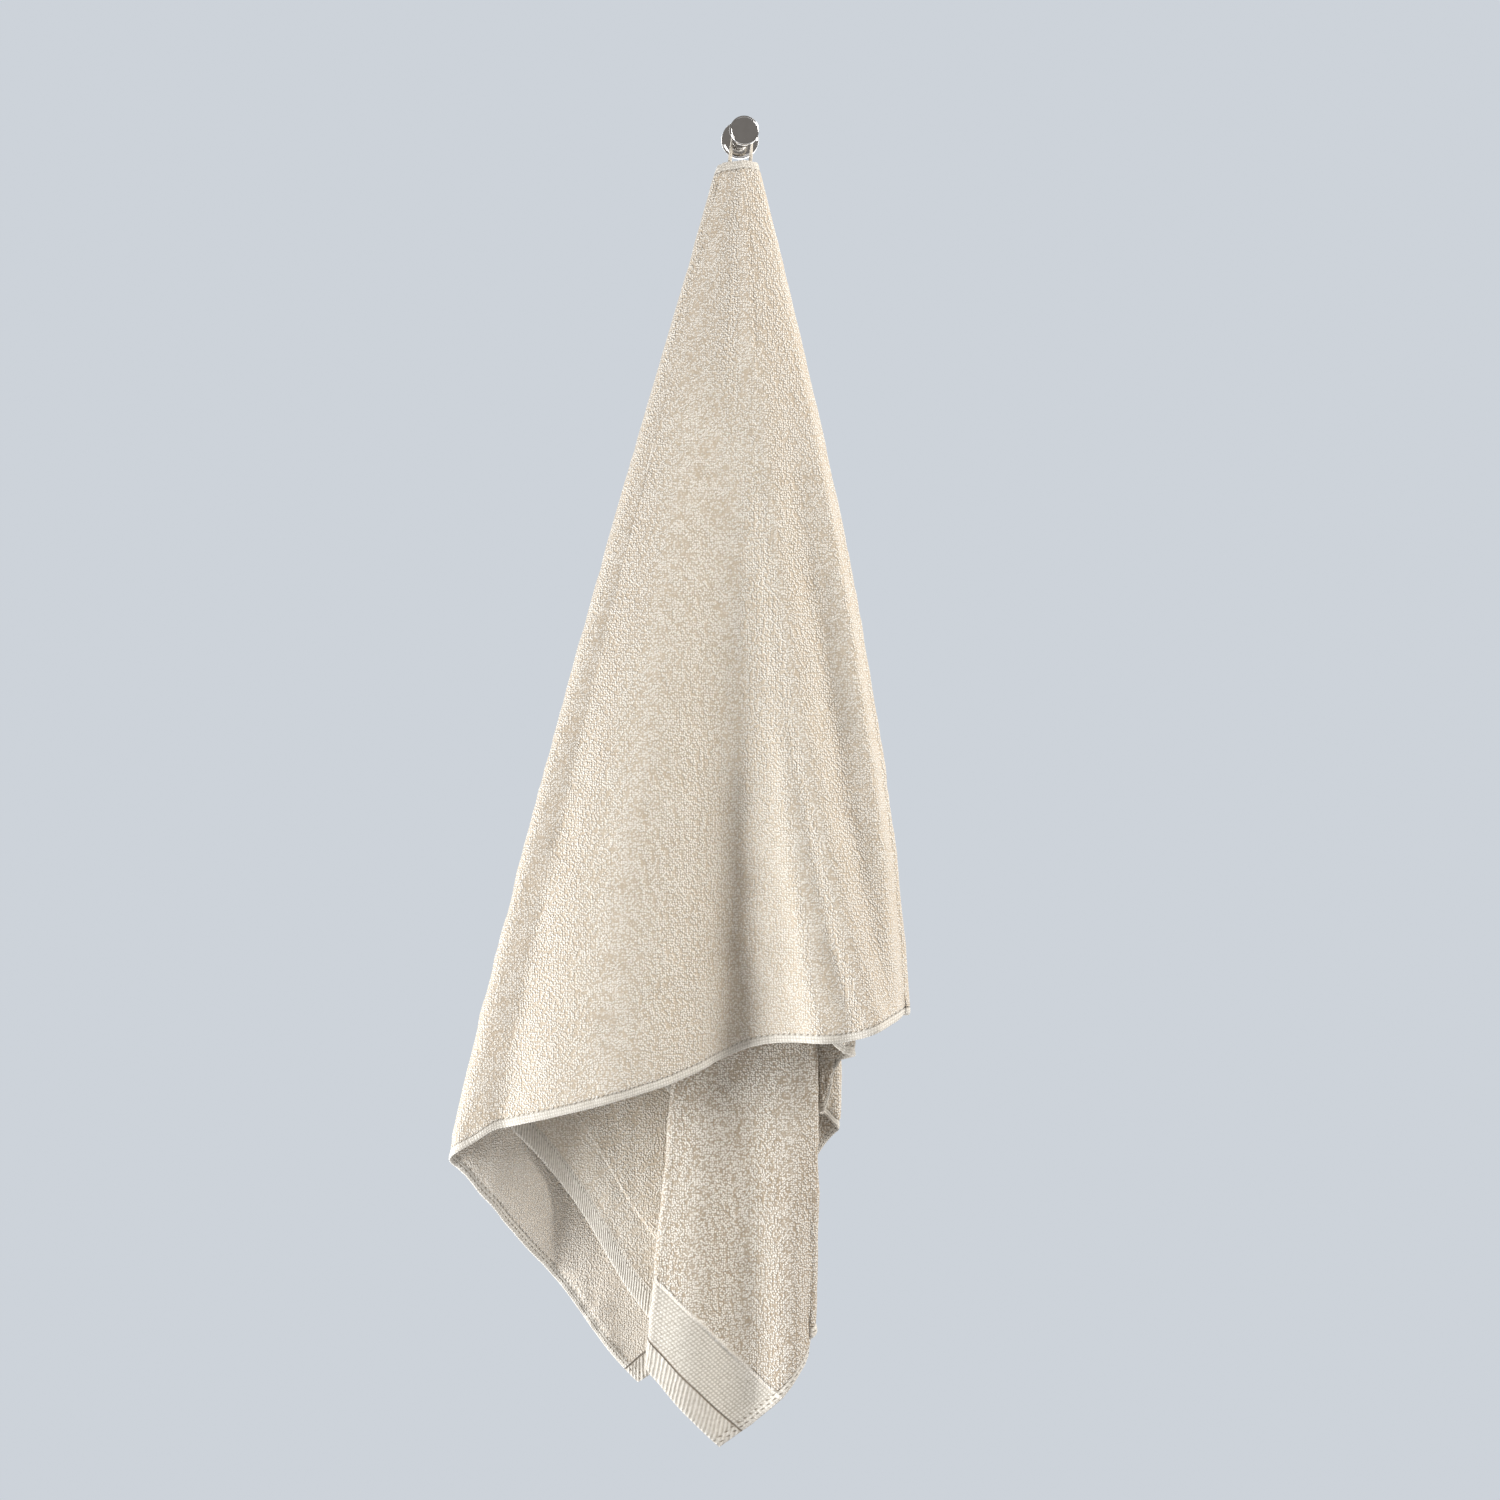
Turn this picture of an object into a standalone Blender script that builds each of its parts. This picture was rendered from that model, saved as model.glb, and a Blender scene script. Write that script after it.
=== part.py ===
"""Bath towel hanging by its sewn loop from a round wall hook.

Units are metres, +Z is up. The origin is the centre of the hook's back face, on the wall.
+X is to the right as seen from the room and +Y points into the wall.

The towel is one sheet. Its folds all run towards one gathering point just above the middle
of its top edge, so the sheet is laid out in rays from that point. Each ray keeps its own
length on the flat towel, and the fold table says where across the bundle it hangs.
"""

import math
from collections import namedtuple

import bmesh
import bpy
from mathutils import Vector

# Flat towel
TOWEL_LENGTH = 1.40
TOWEL_WIDTH = 0.70
CLOTH_THICKNESS = 0.0026
PRESSED_SHARE = 0.78  # cloth thickness over layer spacing where the layers are squeezed

# Gathering point: on the flat towel it lies above the top edge and a little along from the
# loop, and in the room it lies just above the hook's peg
GATHER_ABOVE_EDGE = 0.055
GATHER_ALONG_EDGE = 0.015
GATHER_X = -0.001
GATHER_Z = 0.031

# Layers, counted from the front one at 0 back to the wall
BACK_LAYER = 11.0
BACK_LAYER_Y = -0.006
SPACING_AT_TOP = 0.0018
SPACING_GAIN = 0.0052  # per metre of drop
FAN_FROM = 0.12  # drop where the left folds begin to leave the wall
FAN_TO = 0.60
TURN_BULGE = 0.04  # largest side bulge of a fold, per metre of drop
TURN_WIDTH = 0.0115  # angle taken by a fold, per layer that it steps over
TURN_ANGLES = [-90, -54, -18, 18, 54, 90]
COLUMN_STEP = 0.030  # largest angle between two columns of the mesh
ROWS = 12

# Knob hook
FLANGE_RADIUS = 0.015
FLANGE_DEPTH = 0.009
PEG_RADIUS = 0.0075
DISC_RADIUS = 0.0117
DISC_DEPTH = 0.006
DISC_FRONT = 0.045
HOOK_EDGE = 0.0012
JOIN_GAP = 0.0003
ROUND_STEPS = 64

# Sewn loop of narrow tape
TAPE_WIDTH = 0.0030
TAPE_THICKNESS = 0.0010
TAPE_CLEAR = 0.0004  # between the tape and the peg
LOOP_DEPTH = 0.0265  # of the tape's centre line from the wall, round the peg
LOOP_LEAN = -0.09  # sideways run of both strands for each metre that they drop
LOOP_ARC_STEPS = 12

# One row for each fold, or for a place between folds that the towel's outline shows.
# theta: angle on the flat towel, 0 at the right-hand fold
# slope_top, slope_low: sideways run for each metre of drop, at the top and one metre down
# near_top, next_top: layer before and after the fold, where the bundle is tight
# near_low, next_low: the same one metre down, where the left folds stand off the wall
# reach: stretch of the cloth along the ray
Fold = namedtuple("Fold", "theta slope_top slope_low near_top next_top near_low next_low reach")
FOLDS = [
    Fold(-1.4925, 0.090, 0.090, 9.0, 9.0, 9.0, 9.0, 1.000),
    Fold(-1.1450, -0.150, -0.150, 9.0, 9.0, 8.6, 8.6, 1.000),
    Fold(-1.0300, -0.243, -0.243, 9.0, 10.0, 1.5, 2.6, 1.000),
    Fold(-1.0050, -0.221, -0.221, 10.0, 10.0, 4.3, 4.3, 1.005),
    Fold(-0.9200, -0.152, -0.152, 10.0, 10.0, 9.7, 9.7, 1.002),
    Fold(-0.8160, -0.076, -0.076, 10.0, 10.0, 10.0, 10.0, 1.005),
    Fold(-0.7850, -0.045, -0.045, 10.0, 11.0, 10.0, 11.0, 1.006),
    Fold(-0.7580, -0.079, -0.079, 11.0, 11.0, 11.0, 11.0, 1.005),
    Fold(-0.6650, -0.152, -0.152, 11.0, 11.0, 10.8, 10.8, 1.012),
    Fold(-0.6130, -0.200, -0.200, 11.0, 11.0, 7.0, 7.0, 1.011),
    Fold(-0.5750, -0.238, -0.232, 11.0, 11.0, 4.2, 4.2, 1.010),
    Fold(-0.5300, -0.300, -0.268, 11.0, 0.0, 3.0, 0.0, 1.004),
    Fold(-0.4800, -0.250, -0.231, 0.0, 0.0, 0.0, 0.0, 0.998),
    Fold(-0.3100, -0.082, -0.104, 0.0, 0.0, 0.0, 0.0, 1.008),
    Fold(-0.1700, 0.057, 0.001, 0.0, 0.0, 0.0, 0.0, 0.995),
    Fold(-0.0800, 0.162, 0.068, 0.0, 0.0, 0.0, 0.0, 1.006),
    Fold(0.0000, 0.242, 0.124, 0.0, 1.8, 0.0, 1.8, 0.996),
    Fold(0.1600, 0.030, 0.030, 1.8, 2.8, 1.8, 2.8, 0.985),
    Fold(0.2200, 0.100, 0.075, 2.8, 2.8, 2.8, 2.8, 0.985),
    Fold(0.2550, 0.170, 0.078, 2.8, 5.8, 2.8, 5.8, 1.000),
    Fold(0.4100, 0.075, 0.079, 5.8, 6.8, 5.8, 6.8, 1.000),
    Fold(0.4550, 0.150, 0.072, 6.8, 7.8, 6.8, 7.8, 1.000),
    Fold(0.5650, 0.030, 0.035, 7.8, 4.8, 7.8, 4.8, 1.010),
    Fold(0.6500, 0.106, 0.056, 4.8, 3.8, 4.8, 3.8, 1.052),
    Fold(0.6750, 0.085, 0.051, 3.8, 3.8, 3.8, 3.8, 1.050),
    Fold(0.7200, 0.045, 0.010, 3.8, 3.8, 3.8, 3.8, 1.062),
    Fold(0.7370, 0.030, -0.012, 3.8, 3.8, 3.8, 3.8, 1.062),
    Fold(0.7600, 0.005, -0.042, 3.8, 3.8, 3.8, 3.8, 1.060),
    Fold(0.7900, -0.060, -0.077, 3.8, 4.9, 3.8, 4.9, 1.058),
    Fold(0.9400, -0.012, 0.000, 4.9, 5.9, 4.9, 5.9, 1.030),
    Fold(1.1200, -0.130, -0.130, 5.9, 6.9, 5.9, 6.9, 1.000),
    Fold(1.3400, 0.000, 0.000, 6.9, 7.9, 6.9, 7.9, 1.000),
    Fold(1.4890, -0.110, -0.110, 7.9, 7.9, 7.9, 7.9, 1.000),
]

# Crests and troughs of the front layer and of the panel below it, from left to right
# slope_top, slope_low: their paths, as sideways run for each metre of drop
# upper, middle, lower, lowest: how far the cloth stands out there, at the drops below
Relief = namedtuple("Relief", "slope_top slope_low upper middle lower lowest")
RELIEF_DROPS = (0.0, 0.20, 0.48, 0.76, 0.95)
FRONT_RELIEF = [
    Relief(-0.260, -0.228, 0.000, 0.000, 0.000, 0.000),
    Relief(-0.210, -0.190, 0.002, 0.010, 0.017, 0.018),
    Relief(-0.160, -0.145, 0.003, 0.015, 0.024, 0.026),
    Relief(-0.110, -0.100, 0.005, 0.012, 0.019, 0.022),
    Relief(-0.065, -0.050, 0.008, 0.007, 0.007, 0.007),
    Relief(-0.012, 0.012, 0.013, 0.004, -0.017, -0.017),
    Relief(0.018, 0.062, 0.013, 0.009, 0.006, 0.006),
    Relief(0.036, 0.115, 0.013, 0.015, 0.029, 0.029),
    Relief(0.038, 0.158, 0.012, 0.017, 0.027, 0.027),
    Relief(0.042, 0.200, 0.012, 0.020, 0.034, 0.034),
    Relief(0.140, 0.160, 0.009, 0.008, 0.023, 0.023),
    Relief(0.210, 0.118, 0.004, 0.012, 0.016, 0.016),
    Relief(0.236, 0.117, 0.000, 0.000, 0.000, 0.000),
]
PANEL_RELIEF = [
    Relief(-0.056, -0.073, 0.000, 0.000, 0.000, 0.000),
    Relief(-0.045, -0.058, 0.000, 0.000, 0.001, 0.006),
    Relief(-0.020, -0.018, 0.000, 0.000, 0.000, -0.002),
    Relief(0.060, 0.034, 0.000, 0.000, 0.001, 0.010),
    Relief(0.102, 0.052, 0.000, 0.000, 0.000, 0.000),
]
LEFT_RELIEF = [
    Relief(-0.243, -0.243, 0.000, 0.000, 0.000, 0.000),
    Relief(-0.190, -0.190, 0.000, 0.000, 0.000, 0.006),
    Relief(-0.105, -0.105, 0.000, 0.000, 0.002, 0.019),
    Relief(-0.041, -0.041, 0.000, 0.000, 0.000, 0.010),
]

# Part of the towel, by its angles, that stands out in crests and troughs
Swell = namedtuple("Swell", "start end relief")
SWELLS = [
    Swell(-1.025, -0.789, LEFT_RELIEF),
    Swell(-0.53, 0.0, FRONT_RELIEF),
    Swell(0.65, 0.79, PANEL_RELIEF),
]

# A fold seen from one place of the section: its share there, the side that it bulges to,
# and half the layers that it steps over
Turn = namedtuple("Turn", "share side half_top half_low")

# One place along a section of the bundle. angle is where it lies round its own fold, and
# None in a layer, whose ends are drawn in by the folds beside it.
Column = namedtuple("Column", "theta slope_top slope_low layer_top layer_low reach turns angle")


def clear_scene():
    for item in list(bpy.data.objects):
        bpy.data.objects.remove(item, do_unlink=True)


def make_material(name, colour, roughness, metallic):
    material = bpy.data.materials.new(name)
    material.use_nodes = True
    shader = material.node_tree.nodes["Principled BSDF"]
    shader.inputs["Base Color"].default_value = (*colour, 1.0)
    shader.inputs["Roughness"].default_value = roughness
    shader.inputs["Metallic"].default_value = metallic
    return material


def add_object(name, mesh, material):
    item = bpy.data.objects.new(name, mesh)
    bpy.context.scene.collection.objects.link(item)
    item.data.materials.append(material)
    return item


def mix(a, b, share):
    return a + (b - a) * share


def ease(value):
    value = min(1.0, max(0.0, value))
    return value * value * (3.0 - 2.0 * value)


def turn_span(fold):
    """Angle that a fold takes up on the towel; none where the cloth runs straight on."""
    return TURN_WIDTH * abs(fold.next_low - fold.near_low)


def turn_of(fold, before, share):
    side = 1.0 if fold.slope_top > before.slope_top else -1.0
    half_top = (fold.next_top - fold.near_top) / 2.0
    half_low = (fold.next_low - fold.near_low) / 2.0
    return Turn(share, side, half_top, half_low)


def turn_columns(fold, before):
    """Columns round one fold, from the layer before it to the layer after it."""
    return [
        Column(
            fold.theta + turn_span(fold) * angle / 180.0,
            fold.slope_top,
            fold.slope_low,
            (fold.near_top + fold.next_top) / 2.0,
            (fold.near_low + fold.next_low) / 2.0,
            fold.reach,
            [turn_of(fold, before, 1.0)],
            math.radians(angle),
        )
        for angle in TURN_ANGLES
    ]


def straight_column(earlier, before, after, share):
    """Column part of the way from one fold row to the next, in the layer between them."""
    start = before.theta + turn_span(before) / 2.0
    end = after.theta - turn_span(after) / 2.0
    return Column(
        mix(start, end, share),
        mix(before.slope_top, after.slope_top, share),
        mix(before.slope_low, after.slope_low, share),
        mix(before.next_top, after.near_top, share),
        mix(before.next_low, after.near_low, share),
        mix(before.reach, after.reach, share),
        [turn_of(before, earlier, 1.0 - share), turn_of(after, before, share)],
        None,
    )


def section_columns():
    """Every column of the sheet, from one end of the towel to the other."""
    columns = []
    for earlier, before, after in zip(FOLDS[:1] + FOLDS, FOLDS, FOLDS[1:]):
        steps = max(1, math.ceil((after.theta - before.theta) / COLUMN_STEP))
        has_turn = before.next_top != before.near_top
        first = 1 if has_turn else 0
        shares = [k / steps for k in range(first, steps)]
        columns += [straight_column(earlier, before, after, share) for share in shares]
        if after.next_top != after.near_top:
            columns += turn_columns(after, before)
    columns.append(straight_column(FOLDS[-3], FOLDS[-2], FOLDS[-1], 1.0))
    return columns


def ray_ends(theta):
    """Distances from the gathering point where a ray meets the top edge and leaves the towel."""
    to_end = TOWEL_LENGTH / 2.0 - math.copysign(GATHER_ALONG_EDGE, theta)
    start = GATHER_ABOVE_EDGE / math.cos(theta)
    to_hem = (TOWEL_WIDTH + GATHER_ABOVE_EDGE) / math.cos(theta)
    across = abs(math.sin(theta))
    return start, min(to_hem, to_end / across) if across > 1e-6 else to_hem


def layer_spacing(drop):
    return SPACING_AT_TOP + SPACING_GAIN * drop


def relief_level(row, drop):
    """How far one crest or trough stands out at one drop."""
    levels = (0.0, row.upper, row.middle, row.lower, row.lowest)
    for k in range(1, len(levels)):
        if drop < RELIEF_DROPS[k]:
            share = (drop - RELIEF_DROPS[k - 1]) / (RELIEF_DROPS[k] - RELIEF_DROPS[k - 1])
            return mix(levels[k - 1], levels[k], share)
    return row.lowest


def relief_height(relief, slope, drop):
    """Height between the crests and troughs, on a curve that is level at each of them."""
    paths = [mix(row.slope_top, row.slope_low, drop * drop) for row in relief]
    if not paths[0] <= slope < paths[-1]:
        return 0.0
    heights = [relief_level(row, drop) for row in relief]
    widths = [max(b - a, 1e-4) for a, b in zip(paths, paths[1:])]
    rates = [(b - a) / width for a, b, width in zip(heights, heights[1:], widths)]
    tangents = [rates[0]]
    for before, after in zip(rates, rates[1:]):
        same_way = before * after > 0.0
        tangents.append(2.0 * before * after / (before + after) if same_way else 0.0)
    tangents.append(rates[-1])
    k = max(i for i in range(len(widths)) if paths[i] <= slope)
    t = (slope - paths[k]) / widths[k]
    start = heights[k] * (1.0 + 2.0 * t) + tangents[k] * widths[k] * t
    end = heights[k + 1] * (3.0 - 2.0 * t) + tangents[k + 1] * widths[k] * (t - 1.0)
    return start * (1.0 - t) ** 2 + end * t * t


def swell_rise(theta, slope, drop):
    """How far the cloth stands out towards the room at one place."""
    for swell in SWELLS:
        if swell.start < theta < swell.end:
            return relief_height(swell.relief, slope, drop)
    return 0.0


def hang(column, distance):
    """Place in the room of one point of the towel, and how far it has dropped."""
    mean_slope = (column.slope_top + column.slope_low) / 2.0
    drop = distance * column.reach / math.sqrt(1.0 + mean_slope**2)
    spacing = layer_spacing(drop)
    fan = ease((drop - FAN_FROM) / (FAN_TO - FAN_FROM))
    slope = mix(column.slope_top, column.slope_low, drop * drop)
    x = GATHER_X + slope * drop
    y = BACK_LAYER_Y - (BACK_LAYER - mix(column.layer_top, column.layer_low, fan)) * spacing
    for turn in column.turns:
        half = mix(turn.half_top, turn.half_low, fan) * spacing
        bulge = min(abs(half), TURN_BULGE * drop)
        x -= turn.share * turn.side * bulge
        if column.angle is not None:
            x += turn.side * bulge * math.cos(column.angle)
            y += math.copysign(abs(half) - bulge, column.angle * half)
            y += math.copysign(bulge, half) * math.sin(column.angle)
    y -= swell_rise(column.theta, (x - GATHER_X) / drop, drop)
    return Vector((x, y, GATHER_Z - drop)), drop


def sheet_points():
    """Middle surface of the towel as columns of points, with the drop of each point."""
    grid = []
    for column in section_columns():
        start, end = ray_ends(column.theta)
        grid.append([hang(column, mix(start, end, row / ROWS)) for row in range(ROWS + 1)])
    return grid


def sheet_normal(points, i, j):
    across = points[min(i + 1, len(points) - 1)][j] - points[max(i - 1, 0)][j]
    down = points[i][min(j + 1, ROWS)] - points[i][max(j - 1, 0)]
    return across.cross(down).normalized()


def build_towel(material):
    """The whole towel as one closed sheet: two faces and the rim that joins them."""
    grid = sheet_points()
    points = [[point for point, _ in column] for column in grid]
    shell = bmesh.new()
    faces = []
    for direction in (-0.5, 0.5):
        side = []
        for i, column in enumerate(grid):
            line = []
            for j, (point, drop) in enumerate(column):
                thickness = min(CLOTH_THICKNESS, PRESSED_SHARE * layer_spacing(drop))
                offset = sheet_normal(points, i, j) * (thickness * direction)
                line.append(shell.verts.new(point + offset))
            side.append(line)
        faces.append(side)
    inner, outer = faces
    last = len(grid) - 1
    for i in range(last):
        for j in range(ROWS):
            shell.faces.new((inner[i][j], inner[i][j + 1], inner[i + 1][j + 1], inner[i + 1][j]))
            shell.faces.new((outer[i][j], outer[i + 1][j], outer[i + 1][j + 1], outer[i][j + 1]))
        for j in (0, ROWS):
            shell.faces.new((inner[i][j], inner[i + 1][j], outer[i + 1][j], outer[i][j]))
    for j in range(ROWS):
        for i in (0, last):
            shell.faces.new((inner[i][j], outer[i][j], outer[i][j + 1], inner[i][j + 1]))
    bmesh.ops.recalc_face_normals(shell, faces=shell.faces)
    bmesh.ops.triangulate(shell, faces=shell.faces)
    mesh = bpy.data.meshes.new("towel_cloth")
    shell.to_mesh(mesh)
    shell.free()
    mesh.shade_smooth()
    add_object("towel_cloth", mesh, material)


def loop_route():
    """Half of the tape's route, on the right: place of its centre line and its twist.

    The twist is 0 where the tape lies flat on the peg and 90 degrees where it is sewn flat
    behind the front layer.
    """
    wrap = PEG_RADIUS + TAPE_CLEAR + TAPE_THICKNESS / 2.0
    quarter = [math.pi / 2.0 * k / LOOP_ARC_STEPS for k in range(LOOP_ARC_STEPS + 1)]
    route = [(wrap * math.sin(a), LOOP_DEPTH, wrap * math.cos(a), 0.0) for a in quarter]
    strand = [
        (0.0084, LOOP_DEPTH, -0.005, 12.0),
        (0.0083, LOOP_DEPTH, -0.010, 35.0),
        (0.0083, 0.0266, -0.015, 65.0),
        (0.0083, 0.0268, -0.019, 85.0),
        (0.0083, 0.0270, -0.023, 90.0),
        (0.0083, 0.0274, -0.029, 90.0),
        (0.0083, 0.0279, -0.035, 90.0),
    ]
    return route + strand


def tape_corners(shell, x, y, z, along, twist):
    """Four corners of the tape's section at one place of its route."""
    flat = Vector((0.0, 1.0, 0.0))
    upright = along.cross(flat).normalized()
    angle = math.radians(twist)
    wide = flat * math.cos(angle) + upright * math.sin(angle)
    thin = along.cross(wide).normalized()
    centre = Vector((x, y, z))
    return [
        shell.verts.new(centre + wide * (a * TAPE_WIDTH / 2.0) + thin * (b * TAPE_THICKNESS / 2.0))
        for a, b in ((-1, -1), (1, -1), (1, 1), (-1, 1))
    ]


def build_loop(material):
    half = loop_route()
    left = [(-x, depth, z, -twist) for x, depth, z, twist in reversed(half[1:])]
    route = [
        (x - LOOP_LEAN * min(z, 0.0), -depth, z, twist) for x, depth, z, twist in left + half
    ]
    shell = bmesh.new()
    rings = []
    for k, (x, y, z, twist) in enumerate(route):
        ahead = Vector(route[min(k + 1, len(route) - 1)][:3])
        behind = Vector(route[max(k - 1, 0)][:3])
        rings.append(tape_corners(shell, x, y, z, (ahead - behind).normalized(), twist))
    for ring, following in zip(rings, rings[1:]):
        for c in range(4):
            d = (c + 1) % 4
            shell.faces.new((ring[c], ring[d], following[d], following[c]))
    shell.faces.new(rings[0])
    shell.faces.new(rings[-1])
    bmesh.ops.recalc_face_normals(shell, faces=shell.faces)
    mesh = bpy.data.meshes.new("hanging_loop")
    shell.to_mesh(mesh)
    shell.free()
    add_object("hanging_loop", mesh, material)


def build_round(name, radius, back, front, edge, material):
    """Round piece on the hook's axis, between two distances from the wall."""
    shell = bmesh.new()
    bmesh.ops.create_cone(
        shell, cap_ends=True, segments=ROUND_STEPS, radius1=radius, radius2=radius,
        depth=front - back)
    if edge > 0.0:
        front_rim = [e for e in shell.edges if all(v.co.z > 0.0 for v in e.verts)]
        bmesh.ops.bevel(
            shell, geom=front_rim, offset=edge, segments=2, profile=0.5, affect="EDGES")
    mesh = bpy.data.meshes.new(name)
    shell.to_mesh(mesh)
    shell.free()
    mesh.shade_smooth()
    mesh.set_sharp_from_angle(angle=math.radians(40.0))
    item = add_object(name, mesh, material)
    item.rotation_euler = (math.pi / 2.0, 0.0, 0.0)
    item.location = (0.0, -(back + front) / 2.0, 0.0)


def build_hook(material):
    disc_back = DISC_FRONT - DISC_DEPTH
    build_round("hook_flange", FLANGE_RADIUS, 0.0, FLANGE_DEPTH, HOOK_EDGE, material)
    build_round(
        "hook_peg", PEG_RADIUS, FLANGE_DEPTH + JOIN_GAP, disc_back - JOIN_GAP, 0.0, material)
    build_round("hook_disc", DISC_RADIUS, disc_back, DISC_FRONT, HOOK_EDGE, material)


def main():
    clear_scene()
    terry = make_material("towel_terry", (0.86, 0.78, 0.67), 0.95, 0.0)
    tape = make_material("loop_tape", (0.84, 0.78, 0.69), 0.85, 0.0)
    chrome = make_material("hook_chrome", (0.62, 0.61, 0.60), 0.12, 1.0)
    build_towel(terry)
    build_loop(tape)
    build_hook(chrome)


main()
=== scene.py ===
"""Bath towel hanging from a round wall hook: the finish of every piece, round the solids."""

import math
from collections import namedtuple

import bmesh
import bpy
import numpy as np
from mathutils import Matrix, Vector, noise


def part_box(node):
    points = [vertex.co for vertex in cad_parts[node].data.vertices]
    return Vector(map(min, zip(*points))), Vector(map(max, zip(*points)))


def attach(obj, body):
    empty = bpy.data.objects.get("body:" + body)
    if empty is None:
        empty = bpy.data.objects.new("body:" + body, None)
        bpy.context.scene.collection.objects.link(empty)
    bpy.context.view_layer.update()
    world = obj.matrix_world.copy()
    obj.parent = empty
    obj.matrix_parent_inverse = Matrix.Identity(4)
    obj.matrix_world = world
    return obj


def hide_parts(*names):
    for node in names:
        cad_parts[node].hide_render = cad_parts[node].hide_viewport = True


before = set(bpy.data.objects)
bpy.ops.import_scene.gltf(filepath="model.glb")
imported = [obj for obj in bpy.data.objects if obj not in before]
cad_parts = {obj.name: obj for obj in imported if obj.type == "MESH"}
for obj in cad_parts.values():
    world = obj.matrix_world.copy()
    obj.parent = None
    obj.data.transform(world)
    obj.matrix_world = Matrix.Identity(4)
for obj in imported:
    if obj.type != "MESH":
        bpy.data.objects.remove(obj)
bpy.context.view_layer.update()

# Flat towel, in metres
TOWEL_LENGTH = 1.40
TOWEL_WIDTH = 0.70
CLOTH_THICKNESS = 0.0026
PRESSED_SHARE = 0.78

# Gathering point of the folds, on the flat towel and in the room
GATHER_ABOVE_EDGE = 0.055
GATHER_ALONG_EDGE = 0.015
GATHER_X = -0.001
GATHER_Z = 0.031

# Layers of the bundle
BACK_LAYER = 11.0
BACK_LAYER_Y = -0.006
SPACING_AT_TOP = 0.0018
SPACING_GAIN = 0.0052
FAN_FROM = 0.12
FAN_TO = 0.60
TURN_BULGE = 0.04
TURN_WIDTH = 0.0115
TURN_STEPS = 10

# Hems, seams and bands, as distances from the towel's edges
SIDE_HEM = 0.0068
END_HEM = 0.0155
BAND_END = 0.0470
RIDGE_END = 0.0492
EDGE_ROUND = 0.0016

# Thickness of the woven parts as shares of the terry's, and the widths of their steps
BAND_SHARE = 0.55
END_HEM_SHARE = 0.85
SIDE_HEM_SHARE = 0.80
RIM_SHARE = 0.25
GROOVE_SHARE = 0.28
GROOVE_WIDTH = 0.0012
HEM_STEP = 0.002
BAND_STEP = 0.0012

# Unevenness of the cloth: widths of its soft lumps, how far each stands out, how much more they
# do where the hem's stitches pull the cloth in, and the share of the free space they may use
Lump = namedtuple("Lump", "width height")
LUMPS = [Lump(0.034, 0.0013), Lump(0.013, 0.0008)]
PUCKER_GAIN = 3.0
PUCKER_REACH = 0.010
LUMP_ROOM = 0.35

# Mesh of the towel
FINE_STEP = 0.0062  # angle between columns where the cloth shows
HIDDEN_STEP = 0.022
MIDDLE_ROWS = 78
HEM_ROOM = 0.8  # share of a short ray that its hems may take
SIDE_ROWS = [0.0, 0.0007, 0.0018, 0.0036, 0.0055, 0.0070, 0.0085, 0.0115]
LOWER_ROWS = SIDE_ROWS + [0.016, 0.021, 0.027, 0.033, 0.039, 0.045, 0.051, 0.057, 0.063, 0.069]
END_ROWS = [0.0, 0.0008, 0.0022, 0.006, 0.011, 0.0143, 0.0155, 0.0167, 0.021, 0.027, 0.034,
            0.041, 0.0455, 0.0468, 0.0481, 0.0494, 0.0512, 0.057]

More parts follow.
